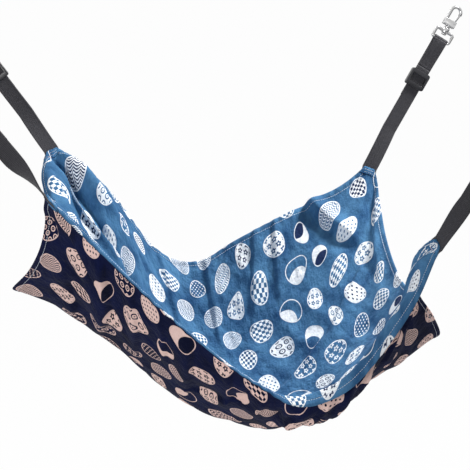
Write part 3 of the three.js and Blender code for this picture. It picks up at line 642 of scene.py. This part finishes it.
def mirrored_section(depths, heights):
    """A closed section from its upper half, as depths in from the edge and heights over the middle plane."""
    return depths + depths[-2::-1], heights + [-height for height in heights[-2::-1]]


def on_section(section, share):
    """The depth and height at a share of the way round a section."""
    depths, heights = (np.append(values, values[0]) for values in section)
    steps = np.linspace(0, 1, len(depths))
    return np.interp(share, steps, depths), np.interp(share, steps, heights)


def wrapped(name, around, along, place, two_faced=False):
    """A tube from a grid, closed round its first direction and capped. Two-faced, it differs below."""
    mesh = moved_grid(name, around, along, place, two_faced)
    shape = bmesh.new()
    shape.from_mesh(mesh)
    bmesh.ops.remove_doubles(shape, verts=shape.verts, dist=1e-7)
    bmesh.ops.holes_fill(shape, edges=[edge for edge in shape.edges if edge.is_boundary], sides=0)
    bmesh.ops.recalc_face_normals(shape, faces=shape.faces)
    shape.to_mesh(mesh)
    shape.free()
    if two_faced:
        for face in mesh.polygons:
            share = mesh.attributes["share"].data[face.vertices[0]].value
            face.material_index = int(share > UNDERSIDE_FROM)
        mesh.attributes.remove(mesh.attributes["share"])
    return mesh


def mitre(depth):
    """How far in from a corner a hem starts at a depth from the edge."""
    return np.maximum(CORNER_CUT - depth, depth)


seam_section = mirrored_section(
    [9.2, 7.6, 6.9, 6.2, 5.5, 4.6, 2.6, 1.1, 0.3, 0], [0.3, 1.4, 1.3, 0.95, 1.35, 1.6, 1.75, 1.5, 0.85, 0])
for side, at_back in (("front", False), ("back", True)):
    def place(s, t):
        depth, height = on_section(seam_section, s)
        a = mitre(depth) + (CLOTH_WIDTH - 2 * mitre(depth)) * t
        b = CLOTH_LENGTH - depth if at_back else depth
        return surface(a, b, False, height), np.stack([a, b], -1)
    mesh = wrapped(f"{side}_seam", 38, 236, place, two_faced=True)
    new_piece(f"{side}_seam", mesh, [blue_cotton, blue_cotton_in_painted_shade], "hammock", [f"{side}_hem"])

# Side hems
# Each free end of a panel is its own cotton turned over twice, 8 mm wide, so that the raw edge is hidden,
# and stitched down.
hem_section = mirrored_section(
    [9.0, 7.9, 7.2, 6.4, 5.6, 4.4, 2.4, 0.9, 0.25, 0], [0.2, 0.9, 0.85, 0.6, 0.85, 1.05, 1.1, 0.95, 0.55, 0])
for layer, outer, cotton in (("inner", False, blue_cotton), ("outer", True, blue_cotton_in_painted_shade)):
    for side, at_right in (("left", False), ("right", True)):
        def place(s, t):
            depth, height = on_section(hem_section, s)
            b = mitre(depth) + (CLOTH_LENGTH - 2 * mitre(depth)) * t
            a = CLOTH_WIDTH - depth if at_right else depth
            return surface(a, b, outer, height + (-LAYER if outer else LAYER)), np.stack([a, b], -1)
        name = f"{layer}_{side}_turned_hem"
        mesh = wrapped(name, 38, 168, place)
        new_piece(name, mesh, [cotton], "hammock", [f"{layer}_{side}_hem"])

# Corner tacks
# A strip of each panel's own cloth is folded in across every corner, over the end of its strap, and sewn
# down, so that the corner's load goes through several layers.
TACK_HALF_WIDTH = 10.2


def tack_place(corner, depth, aside):
    """The flat place a depth in from the cut across a corner and a distance along the cut from its middle."""
    along = CORNER_CUT / 2 + (depth - aside) / math.sqrt(2)
    beside = CORNER_CUT / 2 + (depth + aside) / math.sqrt(2)
    return from_corner(corner, np.maximum(along, 0), np.maximum(beside, 0))


tack_section = mirrored_section(
    [9.5, 8.2, 6.5, 5.0, 3.5, 2.2, 1.1, 0.4, 0], [1.9, 2.5, 2.35, 2.6, 2.3, 2.6, 2.3, 1.5, 0])
for name, corner in corners.items():
    def place(s, t):
        depth, height = on_section(tack_section, s)
        a, b = tack_place(corner, depth, (2 * t - 1) * (TACK_HALF_WIDTH + depth))
        return surface(a, b, False, height), np.stack([a, b], -1)
    mesh = wrapped(f"{name}_corner_tack", 32, 20, place, two_faced=True)
    new_piece(f"{name}_corner_tack", mesh, [blue_cotton, blue_cotton_in_painted_shade], "hammock")

# Stitching
# Lockstitched rows of pale polyester thread, 3 mm to the stitch, hold every seam, hem and tack. They show on
# both faces, and each stitch is a small bead of thread sunk into the cloth.
STITCH_LENGTH = 3.0
STITCH_HALF_WIDTH, STITCH_HALF_HEIGHT = 0.34, 0.3
SEAM_ROW, HEM_ROW, TACK_ROWS = 6.2, 6.4, (3.5, 6.5)
SEAM_LIFT, HEM_LIFT, TACK_LIFT = 1.2, 0.8, 2.5
ROW_START, TACK_ROW_HALF = 14, 9.5

# Spun polyester sewing thread, pale grey blue with a soft shine.
thread, tree = new_material("spun polyester thread")
spot = add_node(tree, "TexCoord")
ply = add_node(tree, "TexNoise", {0: spot.outputs["Object"], "Scale": 1500.0, "Detail": 2.0})
tint = add_node(tree, "Mix", {0: ply, 6: linear("C9D3E2"), 7: linear("EEF2F8")}, data_type="RGBA")
twist = add_node(tree, "Bump", {"Height": ply, "Strength": 0.5, "Distance": 0.0002})
spun = add_node(tree, "BsdfPrincipled", {
    "Base Color": tint.outputs[2], "Roughness": 0.55, "Sheen Weight": 0.2, "Normal": twist})
add_node(tree, "OutputMaterial", {"Surface": spun})

shape = bmesh.new()
bmesh.ops.create_uvsphere(shape, u_segments=6, v_segments=4, radius=0.001)
stitch_mesh = bpy.data.meshes.new("stitch")
shape.to_mesh(stitch_mesh)
shape.free()


def stitch_row(name, place, length):
    """A row of stitches along place(shares, lift), on both faces of what it sews."""
    count = round(length / STITCH_LENGTH)
    starts, ends = (np.arange(count) + 0.08) / count, (np.arange(count) + 0.92) / count
    shape = bmesh.new()
    for lift in (1, -1):
        for first, last in zip(place(starts, lift), place(ends, lift)):
            way = Vector(last - first)
            turn = way.to_track_quat("X", "Z").to_matrix().to_4x4()
            stitch = stitch_mesh.copy()
            stitch.transform(Matrix.Diagonal((way.length / 2, STITCH_HALF_WIDTH, STITCH_HALF_HEIGHT, 1)))
            stitch.transform(Matrix.Translation(Vector((first + last) * 0.0005)) @ turn)
            shape.from_mesh(stitch)
            bpy.data.meshes.remove(stitch)
    mesh = bpy.data.meshes.new(name)
    shape.to_mesh(mesh)
    shape.free()
    new_piece(name, mesh, [thread], "hammock")


for side, b, length in (("front", SEAM_ROW, 640), ("back", CLOTH_LENGTH - SEAM_ROW, 530)):
    def place(share, lift):
        a = ROW_START + (CLOTH_WIDTH - 2 * ROW_START) * share
        return surface(a, b, False, lift * SEAM_LIFT)
    stitch_row(f"{side}_seam_stitching", place, length)
for layer, outer, length in (("inner", False, 420), ("outer", True, 520)):
    for side, a in (("left", HEM_ROW), ("right", CLOTH_WIDTH - HEM_ROW)):
        def place(share, lift):
            b = ROW_START + (CLOTH_LENGTH - 2 * ROW_START) * share
            return surface(a, b, outer, lift * HEM_LIFT + (-LAYER if outer else LAYER))
        stitch_row(f"{layer}_{side}_hem_stitching", place, length)
for name, corner in corners.items():
    for number, depth in enumerate(TACK_ROWS):
        def place(share, lift):
            a, b = tack_place(corner, depth, (2 * share - 1) * TACK_ROW_HALF)
            return surface(a, b, False, lift * TACK_LIFT)
        stitch_row(f"{name}_tack_stitching_{number + 1}", place, 15)

# Straps
# One length of 20 mm ribbed polypropylene webbing at each corner: sewn between the layers, up through the
# slider, round the eye's bar and back down behind to a heat-cut tail.
RIB_GAP, WEFT_GAP = 1.4, 1.5
HIDDEN_LENGTH, TWIST_LENGTH, TAIL_LENGTH = 8.0, 58, 28
SLIDER_LENGTH, SLIDER_TRAVEL = 24, 5
RUN_PAST_SLIDER = SLIDER_LENGTH / 2 + SLIDER_TRAVEL + GAP
FOLD_RADIUS, CLOSING_LENGTH, TAIL_FROM, TAIL_BEHIND = 3.1, 10, 16, 1.9
SLIDER_DROPS = {"front_left": 44, "back_left": 44, "back_right": 61, "front_right": 64}

# Woven polypropylene webbing, solution-dyed charcoal: dull, with ribs along it 1.4 mm apart and a fine weft.
webbing, tree = new_material("woven polypropylene webbing")
flat = add_node(tree, "UVMap", uv_map="flat")
mm = add_node(tree, "VectorMath", {0: flat, "Scale": 1000.0}, operation="SCALE")
rib = add_node(tree, "TexWave", {
    0: mm, "Scale": BANDS / RIB_GAP, "Distortion": 0.4, "Detail": 1.0}, bands_direction="X")
weft = add_node(tree, "TexWave", {
    0: mm, "Scale": BANDS / WEFT_GAP, "Distortion": 1.2, "Detail": 2.0}, bands_direction="Y")
weave = add_node(tree, "Math", {0: rib.outputs["Fac"], 1: weft.outputs["Fac"]}, operation="MULTIPLY")
fuzz = add_node(tree, "TexNoise", {0: mm, "Scale": 1.1, "Detail": 4.0, "Roughness": 0.7})
# Painted shade: the colour darkens in the hollows between ribs and weft, on the relief's own heights, and
# varies at random with the fuzz.
shade = add_node(tree, "Math", {0: fuzz, 1: 0.7, 2: weave}, operation="MULTIPLY_ADD")
shade_share = add_node(tree, "MapRange", {0: shade, 1: 0.2, 2: 1.25})
rib_shade_and_yarn_tone = add_node(tree, "Mix", {0: shade_share, 6: linear("1C1B1F"), 7: linear("4D4C52")}, data_type="RGBA")
relief = add_node(tree, "Bump", {"Height": shade, "Strength": 0.7, "Distance": 0.0006})
yarn = add_node(tree, "BsdfPrincipled", {
    "Base Color": rib_shade_and_yarn_tone.outputs[2], "Roughness": 0.72, "Specular IOR Level": 0.35,
    "Sheen Weight": 0.15, "Sheen Roughness": 0.5, "Normal": relief})
add_node(tree, "OutputMaterial", {"Surface": yarn})

web_section = (
    [10.0, 9.6, 8.6, 7.6, 0, -7.6, -8.6, -9.6, -10.0, -9.6, -8.6, -7.6, 0, 7.6, 8.6, 9.6],
    [0, 0.65, 0.85, 0.68, 0.64, 0.68, 0.85, 0.65, 0, -0.65, -0.85, -0.68, -0.64, -0.68, -0.85, -0.65])


def strap_mesh(name, centres, across, steps):
    """Webbing along a path of centres, with the way across it at each, in millimetres."""
    centres, across = np.array(centres), np.array(across)
    gaps = np.linalg.norm(np.diff(centres, axis=0), axis=1)
    far = np.concatenate([[0], np.cumsum(gaps)])
    travel = np.gradient(centres, axis=0)
    facing = np.cross(across, travel)
    facing /= np.linalg.norm(facing, axis=1, keepdims=True)

    def place(s, t):
        out, height = on_section(web_section, s)
        at = t * far[-1]
        middle, side, front = (
            np.stack([np.interp(at, far, values[:, k]) for k in range(3)], -1)
            for values in (centres, across, facing))
        points = middle + side * out[:, None] + front * height[:, None]
        return points, np.stack([out + WEB_WIDTH / 2, at], -1)
    return wrapped(name, 32, steps, place)


for name, corner in corners.items():
    up, across, facing, anchor = corner["up"], corner["across"], corner["facing"], corner["anchor"]
    eye_rise = corner["eye_rise"]
    slider_rise = eye_rise - SLIDER_DROPS[name]
    run_top = slider_rise + RUN_PAST_SLIDER

    # From inside the corner, along the cut across it, the strap turns square to the hanging line
    left, right = cut_ends(corner)
    cut = (right - left) / np.linalg.norm(right - left)
    cut = -cut if cut @ across < 0 else cut
    start = (left + right) / 2
    into = CORNER_CUT / 2 + np.array([HIDDEN_LENGTH, HIDDEN_LENGTH / 2]) / math.sqrt(2)
    centres, ways = list(surface(*from_corner(corner, into, into))), [cut, cut]
    for share in np.linspace(0, 1, 17):
        eased = share ** 1.4
        centres.append((1 - eased) * start + eased * anchor + up * share * TWIST_LENGTH)
        way = (1 - eased) * cut + eased * across
        ways.append(way / np.linalg.norm(way))
    for rise in [*np.arange(TWIST_LENGTH + 4, run_top - 2, 6), run_top]:
        centres.append(anchor + up * rise)
        ways.append(across)
    mesh = strap_mesh(f"{name}_strap_webbing", centres, ways, 90)
    new_piece(f"{name}_strap_webbing", mesh, [webbing], "hammock", [f"{name}_strap"])

    # Above the slider it leans forwards to pass before the eye's bar
    shares = np.linspace(0, 1, 12)
    centres = [
        anchor + up * (run_top + (eye_rise - run_top) * share) + facing * FOLD_RADIUS * smooth(share, 0, 1)
        for share in shares]
    mesh = strap_mesh(f"{name}_front_webbing", centres, [across] * 12, 24)
    front = new_piece(mesh.name, mesh, [webbing], "hammock", [f"{name}_strap_front_layer"])
    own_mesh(front)

    # Round the bar it comes back down behind, closes up to the strap and ends below the slider
    eye = anchor + up * eye_rise
    centres = [
        eye + FOLD_RADIUS * (facing * math.cos(turn) + up * math.sin(turn))
        for turn in np.linspace(0, math.pi, 17)]
    for share in (0.25, 0.5, 0.75, 1):
        behind = FOLD_RADIUS - (FOLD_RADIUS - TAIL_BEHIND) * smooth(share, 0, 1)
        centres.append(eye - up * CLOSING_LENGTH * share - facing * behind)
    for rise in np.linspace(eye_rise - TAIL_FROM, slider_rise - TAIL_LENGTH, 12):
        centres.append(anchor + up * rise - facing * TAIL_BEHIND)
    mesh = strap_mesh(f"{name}_return_webbing", centres, [across] * len(centres), 80)
    new_piece(mesh.name, mesh, [webbing], f"{name}_carrier", [f"{name}_strap_return"])

# Sliders
# A three-bar slider moulded in black acetal on each strap. Both layers of webbing run through it, and they
# hold in it by friction.
SLIDER_ROUND = 0.0005


def round_edges(shape, edges, offset, segments=3, clamp=True):
    bmesh.ops.bevel(
        shape, geom=edges, offset=offset, offset_type="OFFSET", affect="EDGES", segments=segments,
        profile=0.5, material=-1, clamp_overlap=clamp)


# Injection-moulded acetal: glossy black with a fine mould texture and rubbed patches.
acetal, tree = new_material("moulded black acetal")
spot = add_node(tree, "TexCoord")
grain = add_node(tree, "TexNoise", {0: spot.outputs["Object"], "Scale": 900.0, "Detail": 3.0})
rub = add_node(tree, "TexNoise", {0: spot.outputs["Object"], "Scale": 130.0, "Detail": 4.0})
gloss = add_node(tree, "MapRange", {0: rub, 1: 0.3, 2: 0.7, 3: 0.24, 4: 0.42})
tint = add_node(tree, "Mix", {0: rub, 6: linear("1A1A1E"), 7: linear("303035")}, data_type="RGBA")
relief = add_node(tree, "Bump", {"Height": grain, "Strength": 0.12, "Distance": 0.0003})
plastic = add_node(tree, "BsdfPrincipled", {
    "Base Color": tint.outputs[2], "Roughness": gloss, "IOR": 1.48, "Normal": relief})
add_node(tree, "OutputMaterial", {"Surface": plastic})

for name in corners:
    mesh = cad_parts[f"{name}_slider"].data.copy()
    mesh.name = f"{name}_slider_moulding"
    mesh.materials.clear()
    shape = bmesh.new()
    shape.from_mesh(mesh)
    bmesh.ops.remove_doubles(shape, verts=shape.verts, dist=1e-6)
    bmesh.ops.dissolve_limit(shape, angle_limit=math.radians(2), verts=shape.verts, edges=shape.edges)
    sharp = [edge for edge in shape.edges if edge.calc_face_angle(0) > math.radians(40)]
    round_edges(shape, sharp, SLIDER_ROUND)
    shape.to_mesh(mesh)
    shape.free()
    new_piece(mesh.name, mesh, [acetal], f"{name}_slider", [f"{name}_slider"])

# Eyes, hooks, pins and gates
# Each strap ends in a die-cast swivel snap hook: a square eye on the webbing, a hook that turns in its boss,
# and a gate that pivots on a pin against a hidden spring.
EYE_HALF_WIDTH, EYE_HEIGHT, EYE_ROUND, EYE_WIRE, EYE_END = 12.8, 13.0, 2.2, 2.0, 3.2
BOSS_FROM, BOSS_TO, BOSS_RADIUS, BOSS_BORE = 10.4, 18.2, 4.4, 2.05
STEM_FROM, STEM_RADIUS, STEM_HEAD, STEM_HEAD_HEIGHT = 8.1, 1.8, 3.4, 2.0
COLLAR_FROM, COLLAR_TO, COLLAR_RADIUS = 18.5, 21.2, 3.6
BLOCK_FROM, BLOCK_TO, BLOCK_FLOOR = 20.9, 30.3, 3.0
BLOCK_COLUMNS, BLOCK_ROWS = (-9.1, 0.9, 8.0), (-3.8, -1.7, 1.7, 3.8)
BEND_HEIGHT, BEND_RADIUS, BEND_END, HOOK_WIRE = 41.9, 7, 15, 2.2
PIVOT = (5.0, 27.0, 0)
PIN_RADIUS, PIN_HALF_LENGTH = 1.1, 3.9
CHAMFER, HEAD_CHAMFER, BOSS_CHAMFER, BLOCK_ROUND = 0.3, 0.4, 0.5, 0.8
GATE_WIRE, GATE_HUB, GATE_BORE, GATE_HALF_WIDTH, GATE_SHORT = 1.4, 2.8, 1.25, 1.55, 0.35

# Bright nickel plate over zinc: a mirror-like metal, faintly warm, with fine casting ripples and rubs.
nickel, tree = new_material("bright nickel plate")
spot = add_node(tree, "TexCoord")
ripple = add_node(tree, "TexNoise", {0: spot.outputs["Object"], "Scale": 260.0, "Detail": 3.0})
smear = add_node(tree, "TexNoise", {0: spot.outputs["Object"], "Scale": 90.0, "Detail": 5.0})
gloss = add_node(tree, "MapRange", {0: smear, 1: 0.3, 2: 0.7, 3: 0.14, 4: 0.3})
tint = add_node(tree, "Mix", {0: smear, 6: linear("C9CACD"), 7: linear("B2B1AE")}, data_type="RGBA")
relief = add_node(tree, "Bump", {"Height": ripple, "Strength": 0.2, "Distance": 0.0004})
metal = add_node(tree, "BsdfPrincipled", {
    "Base Color": tint.outputs[2], "Metallic": 1.0, "Roughness": gloss, "Normal": relief})
add_node(tree, "OutputMaterial", {"Surface": metal})


def arc(x, y, radius, start, end, steps):
    return [(x + radius * math.cos(math.radians(v)), y + radius * math.sin(math.radians(v)))
            for v in np.linspace(start, end, steps + 1)]


def wire(shape, path, radius):
    """Adds a round wire along a flat path to a bmesh: a circle at each point, bridged to the next."""
    rings = []
    for i, (x, y) in enumerate(path):
        before, after = path[max(i - 1, 0)], path[min(i + 1, len(path) - 1)]
        angle = math.atan2(after[1] - before[1], after[0] - before[0])
        turn = Matrix.Rotation(angle, 4, "Z") @ Matrix.Rotation(math.pi / 2, 4, "Y")
        ring = bmesh.ops.create_circle(
            shape, segments=20, radius=radius, matrix=Matrix.Translation((x, y, 0)) @ turn)
        rings.append(ring["verts"])
    loops = [list(dict.fromkeys(edge for vert in ring for edge in vert.link_edges)) for ring in rings]
    for one, two in zip(loops, loops[1:]):
        bmesh.ops.bridge_loops(shape, edges=one + two)
    for ring in (rings[0], rings[-1]):
        cap = bmesh.ops.contextual_create(shape, geom=ring)["faces"][0]
        round_edges(shape, list(cap.edges), radius * 0.55, segments=4, clamp=False)


def ring_profile(bore, radius, low, high, chamfer):
    """The section of a turned ring or pin with chamfered rims, as (radius, height) points."""
    return [(bore, low), (radius - chamfer, low), (radius, low + chamfer),
            (radius, high - chamfer), (radius - chamfer, high), (bore, high)]


def turned_part(shape, profile, axis=(0, 1, 0), centre=(0, 0, 0)):
    """Adds a turned part to a bmesh: its profile spun round an axis, closed along its bore if it has one."""
    out, axis = Vector((1, 0, 0)), Vector(axis)
    verts = [shape.verts.new(Vector(centre) + out * radius + axis * height) for radius, height in profile]
    edges = [shape.edges.new(pair) for pair in zip(verts, verts[1:])]
    if profile[0][0] > 0:
        edges.append(shape.edges.new((verts[-1], verts[0])))
    bmesh.ops.spin(
        shape, geom=verts + edges, cent=centre, axis=axis, angle=2 * math.pi, steps=28, use_merge=True,
        dvec=(0, 0, 0))
    bmesh.ops.remove_doubles(shape, verts=shape.verts, dist=1e-4)


def raise_faces(shape, faces, height):
    """Extrudes faces upwards and returns what was made."""
    made = bmesh.ops.extrude_face_region(shape, geom=faces)["geom"]
    verts = [part for part in made if isinstance(part, bmesh.types.BMVert)]
    bmesh.ops.translate(shape, verts=verts, vec=(0, height, 0))
    return [part for part in made if isinstance(part, bmesh.types.BMFace)]


def finished(shape, name):
    """The mesh of a bmesh drawn in millimetres, with its faces turned outwards."""
    bmesh.ops.recalc_face_normals(shape, faces=shape.faces)
    mesh = bpy.data.meshes.new(name)
    shape.to_mesh(mesh)
    shape.free()
    return mesh


# The eye's wire runs round the webbing's bar and ends in the boss's wall on both sides
shape = bmesh.new()
side, low, high = EYE_HALF_WIDTH - EYE_ROUND, EYE_ROUND, EYE_HEIGHT - EYE_ROUND
path = [(-EYE_END, EYE_HEIGHT)]
for x, y, start in ((-side, high, 90), (-side, low, 180), (side, low, 270), (side, high, 0)):
    path += arc(x, y, EYE_ROUND, start, start + 90, 6)
wire(shape, path + [(EYE_END, EYE_HEIGHT)], EYE_WIRE)
turned_part(shape, ring_profile(BOSS_BORE, BOSS_RADIUS, BOSS_FROM, BOSS_TO, BOSS_CHAMFER))
eye_mesh = finished(shape, "swivel_eye")

# The hook: bent wire on a block that is slotted for the gate, and a stem with a head and a collar
shape = bmesh.new()
shank = [(-BEND_RADIUS, height) for height in (BLOCK_FROM + HOOK_WIRE, 28, 34, 38)]
wire(shape, shank + arc(0, BEND_HEIGHT, BEND_RADIUS, 180, -BEND_END, 26), HOOK_WIRE)
head = ring_profile(0, STEM_HEAD, STEM_FROM, STEM_FROM + STEM_HEAD_HEIGHT, HEAD_CHAMFER)[:-1]
turned_part(shape, head + [
    (STEM_RADIUS, head[-1][1]), (STEM_RADIUS, COLLAR_FROM), (COLLAR_RADIUS - CHAMFER, COLLAR_FROM),
    (COLLAR_RADIUS, COLLAR_FROM + CHAMFER), (COLLAR_RADIUS, COLLAR_TO), (0, COLLAR_TO)])
block = bmesh.new()
bmesh.ops.create_grid(block, x_segments=2, y_segments=3, size=1)
for vert in block.verts:
    column, row = round(vert.co.x + 1), round((vert.co.y + 1) * 1.5)
    vert.co = (BLOCK_COLUMNS[column], BLOCK_FROM, BLOCK_ROWS[row])
tops = raise_faces(block, list(block.faces), BLOCK_FLOOR)
middles = [(face, face.calc_center_median()) for face in tops]
cheeks = [face for face, middle in middles if middle.x < BLOCK_COLUMNS[1] or abs(middle.z) > 1]
raise_faces(block, cheeks, BLOCK_TO - BLOCK_FROM - BLOCK_FLOOR)
bmesh.ops.dissolve_limit(block, angle_limit=math.radians(2), verts=block.verts, edges=block.edges)
bmesh.ops.recalc_face_normals(block, faces=block.faces)
round_edges(block, [edge for edge in block.edges if edge.calc_face_angle(0) > 0.7], BLOCK_ROUND)
block_mesh = bpy.data.meshes.new("block")
block.to_mesh(block_mesh)
block.free()
shape.from_mesh(block_mesh)
hook_mesh = finished(shape, "snap_hook")

shape = bmesh.new()
profile = ring_profile(0, PIN_RADIUS, -PIN_HALF_LENGTH, PIN_HALF_LENGTH, CHAMFER)
turned_part(shape, profile, axis=(0, 0, 1), centre=PIVOT)
pin_mesh = finished(shape, "gate_rivet")

# The gate's wire reaches from its pivot to the end of the hook's bend
shape = bmesh.new()
tip = Vector((
    BEND_RADIUS - HOOK_WIRE / 6, BEND_HEIGHT - BEND_RADIUS * math.sin(math.radians(BEND_END)) - GATE_SHORT))
pivot = Vector(PIVOT[:2])
wire(shape, [pivot + (tip - pivot) * share for share in (0.2, 0.4, 0.7, 1)], GATE_WIRE)
profile = ring_profile(GATE_BORE, GATE_HUB, -GATE_HALF_WIDTH, GATE_HALF_WIDTH, CHAMFER)
turned_part(shape, profile, axis=(0, 0, 1), centre=PIVOT)
gate_mesh = finished(shape, "sprung_gate")

for name, corner in corners.items():
    eye = corner["anchor"] + corner["up"] * corner["eye_rise"]
    turn = Matrix([corner["across"], corner["up"], corner["facing"]]).transposed().to_4x4()
    place = Matrix.Translation(Vector(eye * 0.001)) @ turn @ Matrix.Scale(0.001, 4)
    for piece, pattern, body, node in (
        ("swivel_eye", eye_mesh, "eye", "eye"), ("snap_hook", hook_mesh, "hook", "hook"),
        ("gate_rivet", pin_mesh, "hook", "gate_pin"), ("sprung_gate", gate_mesh, "gate", "gate"),
    ):
        mesh = pattern.copy()
        mesh.transform(place)
        new_piece(f"{name}_{piece}", mesh, [nickel], f"{name}_{body}", [f"{name}_{node}"])
